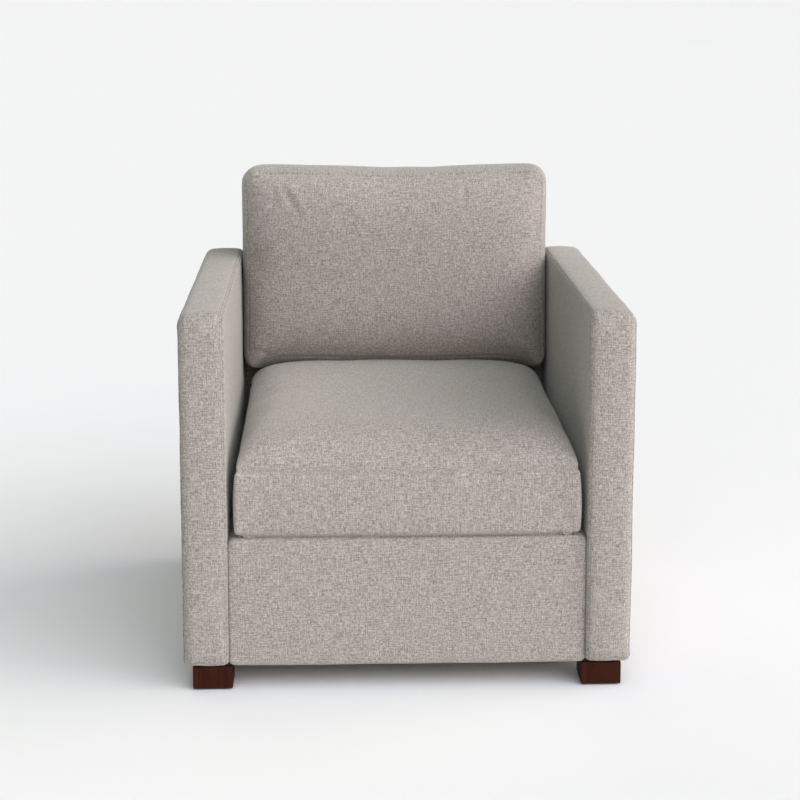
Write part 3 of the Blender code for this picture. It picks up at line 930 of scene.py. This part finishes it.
def inflate(obj, held, pressure, cap, slack):
    """Fill a closed cover by cloth simulation, and keep the result without the modifier.

    The held vertices stay in place, and no vertex moves further than cap.
    """
    mesh = obj.data
    start = points_of(mesh)
    group = obj.vertex_groups.new(name="held")
    group.add(held, 1.0, "REPLACE")
    cloth = obj.modifiers.new("Cloth", "CLOTH")
    for key, value in CLOTH_SETTINGS.items():
        setattr(cloth.settings, key, value)
    cloth.settings.use_pressure = True
    cloth.settings.uniform_pressure_force = pressure
    cloth.settings.shrink_min = -slack
    cloth.settings.effector_weights.gravity = 0.0
    cloth.settings.vertex_group_mass = group.name
    cloth.collision_settings.use_collision = False
    cloth.point_cache.frame_start = 1
    cloth.point_cache.frame_end = SIM_FRAMES
    scene = bpy.context.scene
    for number in range(1, SIM_FRAMES + 1):
        scene.frame_set(number)
    graph = bpy.context.evaluated_depsgraph_get()
    shift = points_of(obj.evaluated_get(graph).data) - start
    obj.modifiers.remove(cloth)
    obj.vertex_groups.remove(group)
    scene.frame_set(1)
    ends = np.array([edge.vertices for edge in mesh.edges])
    degree = np.maximum(np.bincount(ends.ravel(), minlength=len(start)), 1)[:, None]
    for _ in range(SWELL_SMOOTHING):
        total = np.zeros_like(shift)
        np.add.at(total, ends[:, 0], shift[ends[:, 1]])
        np.add.at(total, ends[:, 1], shift[ends[:, 0]])
        shift = 0.5 * shift + 0.5 * total / degree
    length = np.linalg.norm(shift, axis=1)
    limit = cap * np.tanh(length / cap) / np.maximum(length, 1e-9)
    move_points(mesh, start + shift * limit[:, None])


def subdivide(obj, levels):
    """Apply a Catmull-Clark subdivision."""
    modifier = obj.modifiers.new("Smooth cloth", "SUBSURF")
    modifier.levels = levels
    modifier.render_levels = levels
    graph = bpy.context.evaluated_depsgraph_get()
    mesh = bpy.data.meshes.new_from_object(obj.evaluated_get(graph))
    old = obj.data
    obj.modifiers.clear()
    obj.data = mesh
    bpy.data.meshes.remove(old)


def mark_seams(mesh, vertices):
    """Store how strongly each vertex belongs to a seam, 1 on it, as a point attribute."""
    weights = np.zeros(len(mesh.vertices))
    weights[vertices] = 1.0
    layer = mesh.attributes.new("seam", "FLOAT", "POINT")
    layer.data.foreach_set("value", weights)


def press_seams(mesh, above=None):
    """Pull the marked seams into a cushion, and only above a height where one is given."""
    weights = np.zeros(len(mesh.vertices))
    mesh.attributes["seam"].data.foreach_get("value", weights)
    places = points_of(mesh)
    if above is not None:
        weights *= smooth_fall(places[:, 2], above, above + SEAM_FADE)
    move_points(mesh, places - normals_of(mesh) * (CUSHION_SEAM_DEPTH * weights[:, None]))


def cushion_profile(height, bulge):
    """Give the boxing's rings from the front seam to the rear seam."""
    count = max(3, round((height - 2 * BOXING_MARGIN) / BOXING_STEP) + 1)
    places = list(BOXING_LINES) + list(np.linspace(BOXING_MARGIN, height - BOXING_MARGIN, count))
    places += [height - line for line in reversed(BOXING_LINES)]
    swell = [bulge * math.sin(math.pi * t / height) ** BOXING_FULLNESS for t in places]
    return [(offset, t, 1.0, 0.0) for offset, t in zip(swell, places)]


def make_cushion(name, slab, place, inflation, reach, floor_z):
    """Make a cushion's closed cover of a slab, fill it and keep it in its place."""
    quads = slab.sheet("front") + slab.band(0, len(slab.rings) - 1, "band") + slab.sheet("rear")
    obj, index = make_object(name, slab, quads, place)
    mark_seams(obj.data, [index[v] for ring in (slab.rings[0], slab.rings[-1]) for v in ring])
    inflate(obj, [index[v] for v in slab.rear.values()], **inflation)
    for vertex in obj.data.vertices:
        vertex.co.x = min(max(vertex.co.x, -reach), reach)
        vertex.co.z = max(vertex.co.z, floor_z)
    return obj


def seat_height(x, y, low, high):
    """Give the seat's crown, 0 to 1, at a place on it."""
    u, v = centred(x, low[0], high[0]), centred(y, low[1], high[1])
    along = np.where(v < 0, dome(v, *SEAT_DOME_FRONT), dome(v, *SEAT_DOME_REAR))
    return dome(u, *SEAT_DOME_ACROSS) * along


def build_seat_cushion():
    """Build the loose seat cushion: boxed, crowned on top, flat where it lies on the deck."""
    box_low, box_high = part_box("seat_cushion_bottom_panel")
    low = (box_low[0] + SEAT_INSET, box_low[1] + SEAT_INSET)
    high = (box_high[0] - SEAT_INSET, box_high[1] - SEAT_INSET)
    height = SEAT_SEAM_Z - box_low[2]
    radii = (SEAT_CORNER_RADIUS, SEAT_CORNER_RADIUS)
    slab = Slab(low, high, radii, cushion_profile(height, SEAT_BULGE))
    a, b, t = slab.points.T
    crown = np.where(slab.arcs <= 0, SEAT_CROWN * seat_height(a, b, low, high), 0)
    crown += np.where(slab.arcs < 0, waves(slab.points, *SEAT_WAVES, 3), 0)
    slab.points[:, 2] -= crown
    # The lower edge is rounded all round.
    turn = np.clip((t - height) / SEAT_FOOT_RADIUS + 1, 0, 1)
    inward = SEAT_FOOT_RADIUS * (1 - np.sqrt(1 - turn**2))
    for axis in (0, 1):
        slab.points[:, axis] -= inward * centred(slab.points[:, axis], low[axis], high[axis])

    def place(x, y, deep):
        return (x, y, SEAT_SEAM_Z - deep)

    obj = make_cushion("seat_cushion_cover", slab, place, SEAT_INFLATE, SEAT_REACH, box_low[2])
    subdivide(obj, 1)
    press_seams(obj.data)
    nodes = [f"seat_cushion_{node}" for node in (*CUSHION_NODES, "foam")]
    finish_piece(obj, CLOTH, BODY_SEAT, replaced=nodes)
    return obj, low, high


def settle_on_seat(mesh, seat):
    """Let the back cushion's foot follow the seat that it stands on, without a gap."""
    tree = BVHTree.FromObject(seat, bpy.context.evaluated_depsgraph_get())
    places = points_of(mesh)
    columns = np.linspace(-FOOT_REST_HALF, FOOT_REST_HALF, FOOT_COLUMNS)
    down = Vector((0, 0, -1))
    gaps = []
    for middle in columns:
        near = places[np.abs(places[:, 0] - middle) < columns[1] - columns[0]]
        near = near[near[:, 2] < near[:, 2].min() + FOOT_DEPTH]
        hits = [(z, tree.ray_cast(Vector((x, y, PROBE_Z)), down)[0]) for x, y, z in near]
        gaps.append(min(z - hit.z for z, hit in hits if hit))
    padded = np.pad(gaps, FOOT_SMOOTHING // 2, mode="edge")
    gaps = np.convolve(padded, np.ones(FOOT_SMOOTHING) / FOOT_SMOOTHING, mode="valid")
    drop = np.interp(places[:, 0], columns, gaps) + FOOT_PRESS
    drop *= 1 - smooth_fall(places[:, 2], SEAT_TOP_Z, SEAT_TOP_Z + FOOT_BLEND)
    drop *= 1 - smooth_fall(np.abs(places[:, 0]), FOOT_REST_HALF, SEAT_REACH)
    places[:, 2] -= drop
    move_points(mesh, places)


def crease(x, y, start, end, width):
    """Give a 0 to 1 ridge that runs from start to end and dies away at its ends."""
    run = np.subtract(end, start)
    length = np.hypot(*run)
    along = ((x - start[0]) * run[0] + (y - start[1]) * run[1]) / length
    aside = ((x - start[0]) * -run[1] + (y - start[1]) * run[0]) / length
    ends = smooth_fall(along, *(share * length for share in CREASE_START))
    ends *= 1 - smooth_fall(along, *(share * length for share in CREASE_END))
    return ends * dent(aside, width)


def press_creases(mesh):
    """Press the creases into a cushion's front, each with a swell beside it."""
    places, normals = points_of(mesh), normals_of(mesh)
    across, rise = places[:, 0], places[:, 2]
    front = smooth_fall(-normals[:, 1], *CREASE_FACING)
    for start, end, width, depth in CREASES:
        groove = CREASE_GROOVE * crease(across, rise, start, end, width)
        swell = CREASE_SWELL * crease(across, rise, start, end, CREASE_SWELL_WIDTH * width)
        places += normals * ((swell - groove) * depth * front)[:, None]
    move_points(mesh, places)


def build_back_cushion(seat, seat_low, seat_high):
    """Build the loose back cushion, which stands on the seat's crown and leans on the back."""
    panel_low, panel_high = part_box("back_cushion_bottom_panel")
    half = (panel_high[0] - panel_low[0]) / 2 + PILLOW_FULLNESS - PILLOW_BULGE
    up = Vector((0, math.sin(RAKE), math.cos(RAKE)))
    facing = Vector((0, -math.cos(RAKE), math.sin(RAKE)))
    heel = Vector((0, panel_high[1], panel_high[2]))
    foot_z = SEAT_SEAM_Z + FOOT_RISE
    length = (PILLOW_TOP_Z - PILLOW_BULGE - foot_z) / up.z
    seam_plane = heel - up * length + facing * PILLOW_DEPTH
    slab = Slab(
        (-half, 0.0),
        (half, length),
        (FOOT_RADIUS, PILLOW_TOP_RADII),
        cushion_profile(PILLOW_DEPTH, PILLOW_BULGE),
        PILLOW_GRID_STEP,
    )
    a, b, _ = slab.points.T
    v = 2 * b / length - 1
    crown = PILLOW_CROWN * dome(a / half, *PILLOW_DOME_ACROSS) * dome(v, *PILLOW_DOME_UP)
    crown *= 1 - PILLOW_CROWN_FALL * v
    dip = PILLOW_TOP_DIP * dent(a, PILLOW_DIP_HALF_WIDTH) * smooth_fall(v, PILLOW_DIP_START, 1.0)
    slab.points[:, 2] -= np.where(slab.arcs <= 0, crown, 0)
    slab.points[:, 2] += np.where(slab.arcs >= slab.arc[-1], PILLOW_REAR_CROWN * crown, 0)
    slab.points[:, 1] -= dip
    slab.points[:, 0] -= PILLOW_LEAN_LEFT * smooth_fall(v, -1.0, PILLOW_LEAN_END)
    # The foot follows the seat's crown, further back as well.
    deep_y = heel.y - PILLOW_DEPTH + slab.points[:, 2]
    rise = SEAT_CROWN * seat_height(a, deep_y, seat_low, seat_high)
    lift = np.maximum(rise - FOOT_RISE + FOOT_CLEARANCE, 0.0)
    slab.points[:, 1] += lift * (1 - smooth_fall(b, 0.0, FOOT_BLEND))

    def place(x, rise_by, deep):
        return seam_plane + Vector((x, 0, 0)) + up * rise_by - facing * deep

    cover = "back_cushion_cover"
    obj = make_cushion(cover, slab, place, PILLOW_INFLATE, PILLOW_REACH, SEAT_SEAM_Z)
    settle_on_seat(obj.data, seat)
    subdivide(obj, 2)
    press_seams(obj.data, SEAT_TOP_Z)
    press_creases(obj.data)
    nodes = [f"back_cushion_{node}" for node in (*CUSHION_NODES, "fill")]
    finish_piece(obj, CLOTH, BODY_BACK, replaced=nodes)


# ------------ carried-over nodes

# Stock of each slot: name, dark, light, scale of its mottle, roughness, relief and metal.
STOCKS = {
    "frame_wood": ("raw_frame_wood", (0.42, 0.28, 0.15), (0.58, 0.42, 0.25), (60, 60, 8), 0.75, 0.0003),
    "steel": ("spring_steel", (0.30, 0.30, 0.31), (0.48, 0.48, 0.49), (90, 90, 90), 0.38, 0.0001, 1.0),
    "glide": ("glide_plastic", (0.02, 0.02, 0.02), (0.05, 0.05, 0.05), (300, 300, 300), 0.5, 0.0001),
    "deck_cloth": ("deck_cloth", (0.24, 0.21, 0.18), (0.34, 0.31, 0.27), (600, 600, 600), 0.95, 0.0003),
    "felt": ("insulator_felt", (0.22, 0.20, 0.19), (0.42, 0.40, 0.37), (400, 400, 400), 1.0, 0.0006),
    "webbing": ("jute_webbing", (0.12, 0.08, 0.05), (0.28, 0.20, 0.13), (500, 500, 900), 0.9, 0.0004),
}


def paint_nodes():
    """Give every carried-over CAD node its detailed material."""
    materials = {slot: plain_stock(*stock) for slot, stock in STOCKS.items()}
    materials["leg_wood"] = espresso_wood("espresso_wood")
    materials["dust_cloth"] = DUST_CLOTH_AND_GAP_SHADE
    wanted = {part["node"]: part["material_slot"] for part in frame["record"]["subparts"]}
    for node, obj in frame["nodes"].items():
        for slot in obj.material_slots:
            slot.material = materials.get(wanted[node], CLOTH)


# ------------ studio

CAMERA_PLACE = (-0.126, CAD_LOW[1] - 3.171, 1.228)
CAMERA_YAW = math.radians(2.03)
CAMERA_PITCH = math.radians(9.96)
CAMERA_LENS = 87.9
CAMERA_SENSOR = 36
CAMERA_SHIFT_Y = -0.12
CAMERA_SIGHT = 1000
# Soft lights: azimuth to the right of the front, elevation, width, and strength by colour.
LIGHT_BALANCE = (1.06, 1.01, 1.035)
LIGHTS = (
    (0, 25, 50, (0.290, 0.294, 0.236)),
    (0, 50, 65, (0.044, 0.080, 0.175)),
    (40, 25, 50, (0.390, 0.357, 0.323)),
    (40, 50, 65, (0.035, 0.040, 0.070)),
    (65, 25, 50, (0.171, 0.226, 0.282)),
    (90, 25, 58, (0.529, 0.492, 0.366)),
    (120, 25, 50, (0.046, 0.034, 0.122)),
    (0, 90, 80, (0.282, 0.314, 0.232)),
    (200, 20, 50, (0.120, 0.120, 0.115)),
)
SKY_STRENGTH = 0.005
FLOOR_REACH = 60.0
BACKDROP_REACH = 0.99 * FLOOR_REACH


def set_camera():
    """Set the camera where the photo's camera stood."""
    scene = bpy.context.scene
    camera = link_new("camera", bpy.data.cameras.new("camera"))
    camera.location = CAMERA_PLACE
    camera.rotation_euler = (math.pi / 2 - CAMERA_PITCH, 0, -CAMERA_YAW)
    camera.data.lens = CAMERA_LENS
    camera.data.sensor_width = CAMERA_SENSOR
    camera.data.shift_y = CAMERA_SHIFT_Y
    camera.data.clip_end = CAMERA_SIGHT
    scene.camera = camera


def add_light(name, azimuth, elevation, width, colour):
    """Add a soft light that shines from a direction at the chair."""
    light = bpy.data.lights.new(name, "SUN")
    colour = [c * k for c, k in zip(colour, LIGHT_BALANCE)]
    light.energy = math.pi * max(colour)
    light.color = tuple(c / max(colour) for c in colour)
    light.angle = math.radians(width)
    azimuth, elevation = math.radians(azimuth), math.radians(elevation)
    level = math.cos(elevation)
    towards = (math.sin(azimuth) * level, -math.cos(azimuth) * level, math.sin(elevation))
    lamp = link_new(name, light)
    lamp.rotation_euler = Vector(towards).to_track_quat("Z", "Y").to_euler()


def set_sky():
    """Set the faint, even, white sky."""
    world = bpy.data.worlds.new("studio")
    world.use_nodes = True
    background = world.node_tree.nodes["Background"]
    background.inputs[0].default_value = (1.0, 1.0, 1.0, 1.0)
    background.inputs[1].default_value = SKY_STRENGTH
    bpy.context.scene.world = world


def stage_shape(name, material, create, **shape):
    """Add one stage object of a bmesh primitive."""
    bm = bmesh.new()
    create(bm, **shape)
    mesh = bpy.data.meshes.new(name)
    bm.to_mesh(mesh)
    bm.free()
    mesh.materials.append(material)
    return link_new(name, mesh)


def build_studio():
    """Set the camera, the lights, the sky, the pale floor and the backdrop."""
    bpy.context.scene.view_settings.view_transform = "Standard"
    set_camera()
    for number, light in enumerate(LIGHTS, 1):
        add_light(f"light_{number}", *light)
    set_sky()
    disc = {"cap_ends": True, "segments": 64, "radius": FLOOR_REACH}
    floor = stage_shape("floor", pale_floor("pale_floor"), bmesh.ops.create_circle, **disc)
    ball = {"u_segments": 64, "v_segments": 32, "radius": BACKDROP_REACH}
    glow = pale_backdrop("pale_backdrop")
    backdrop = stage_shape("backdrop", glow, bmesh.ops.create_uvsphere, **ball)
    for sight in ("diffuse", "glossy", "transmission", "volume_scatter", "shadow"):
        setattr(backdrop, f"visible_{sight}", False)


paint_nodes()
for side_name, side_sign in SIDES:
    build_arm(side_name, side_sign)
build_rail()
build_gap_shade_strips()
build_back()
SEAT_COVER, SEAT_LOW, SEAT_HIGH = build_seat_cushion()
build_back_cushion(SEAT_COVER, SEAT_LOW, SEAT_HIGH)
build_studio()
